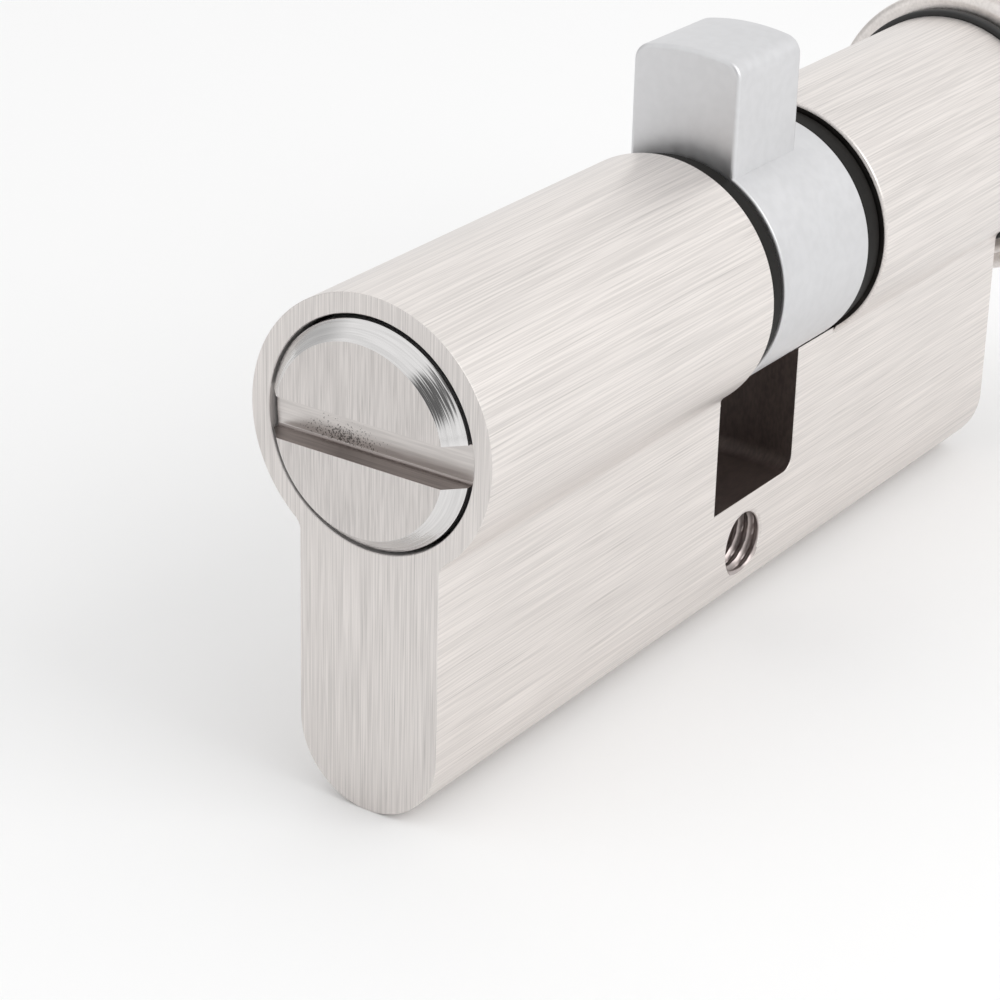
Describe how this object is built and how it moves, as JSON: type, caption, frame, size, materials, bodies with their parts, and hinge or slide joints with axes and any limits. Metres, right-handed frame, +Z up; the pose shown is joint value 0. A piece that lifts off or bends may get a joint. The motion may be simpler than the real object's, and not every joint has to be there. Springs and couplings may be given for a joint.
{
  "type": "euro cylinder",
  "caption": "Bathroom euro profile lock cylinder with a coin slot on one end, a thumbturn on the other and a rotating cam between them.",
  "frame": {"origin": "on the axis that the plug, cam and thumbturn turn about, in the plane of the fixing screw's hole", "axes": "+X along the turning axis towards the thumbturn, -X towards the coin slot; +Z up, away from the web of the profile; +Y across the profile"},
  "size_m": [0.0939, 0.02, 0.0395],
  "materials": {
    "satin_nickel": "brushed satin nickel plate over brass",
    "knob_nickel": "satin nickel plate over brass",
    "cam_metal": "matte sintered and plated steel",
    "black_steel": "black phosphated spring steel",
    "bright_steel": "ground and polished",
    "spring_steel": "drawn wire",
    "plain_steel": "turned",
    "brass": "turned",
    "black_acetal": "moulded"
  },
  "bodies": {
    "housing": {"body": "satin_nickel", "coin_head_washer": "black_acetal", "thumbturn_head_washer": "black_acetal", "coin_stop_1_spring": "spring_steel", "coin_stop_1_cap": "brass", "coin_stop_2_spring": "spring_steel", "coin_stop_2_cap": "brass", "thumbturn_stop_1_spring": "spring_steel", "thumbturn_stop_1_cap": "brass", "thumbturn_stop_2_spring": "spring_steel", "thumbturn_stop_2_cap": "brass"},
    "thumbturn": {"thumbturn_spindle": "plain_steel", "thumbturn_circlip": "black_steel", "thumbturn_knob": "knob_nickel", "knob_washer": "black_acetal", "knob_grub_screw": "plain_steel", "drive_bar": "bright_steel"},
    "cam": {"cam": "cam_metal"},
    "coin_plug": {"coin_plug": "satin_nickel", "coin_circlip": "black_steel"},
    "coin_ball_1": {"coin_stop_1_ball": "bright_steel"},
    "coin_ball_2": {"coin_stop_2_ball": "bright_steel"},
    "thumbturn_ball_1": {"thumbturn_stop_1_ball": "bright_steel"},
    "thumbturn_ball_2": {"thumbturn_stop_2_ball": "bright_steel"}
  },
  "joints": [
    {"name": "thumbturn_turn", "type": "hinge", "parent": "housing", "child": "thumbturn", "pos_m": [0, 0, 0], "axis": [1, 0, 0], "continuous": true},
    {"name": "cam_turn", "type": "hinge", "parent": "housing", "child": "cam", "pos_m": [0, 0, 0], "axis": [1, 0, 0], "continuous": true},
    {"name": "coin_plug_turn", "type": "hinge", "parent": "housing", "child": "coin_plug", "pos_m": [0, 0, 0], "axis": [1, 0, 0], "continuous": true},
    {"name": "coin_ball_1_lift", "type": "slide", "parent": "housing", "child": "coin_ball_1", "axis": [0, 0, 1], "range_m": [0, 0.00035], "stiffness_N_per_m": 50, "springref_m": 0.001, "deforming": ["coin_stop_1_spring"]},
    {"name": "coin_ball_2_lift", "type": "slide", "parent": "housing", "child": "coin_ball_2", "axis": [0, 0, 1], "range_m": [0, 0.00035], "stiffness_N_per_m": 50, "springref_m": 0.001, "deforming": ["coin_stop_2_spring"]},
    {"name": "thumbturn_ball_1_lift", "type": "slide", "parent": "housing", "child": "thumbturn_ball_1", "axis": [0, 0, 1], "range_m": [0, 0.00035], "stiffness_N_per_m": 50, "springref_m": 0.001, "deforming": ["thumbturn_stop_1_spring"]},
    {"name": "thumbturn_ball_2_lift", "type": "slide", "parent": "housing", "child": "thumbturn_ball_2", "axis": [0, 0, 1], "range_m": [0, 0.00035], "stiffness_N_per_m": 50, "springref_m": 0.001, "deforming": ["thumbturn_stop_2_spring"]}
  ],
  "couplings": [
    {"joint": "cam_turn", "follows": "thumbturn_turn", "ratio": 1},
    {"joint": "coin_plug_turn", "follows": "thumbturn_turn", "ratio": 1}
  ]
}
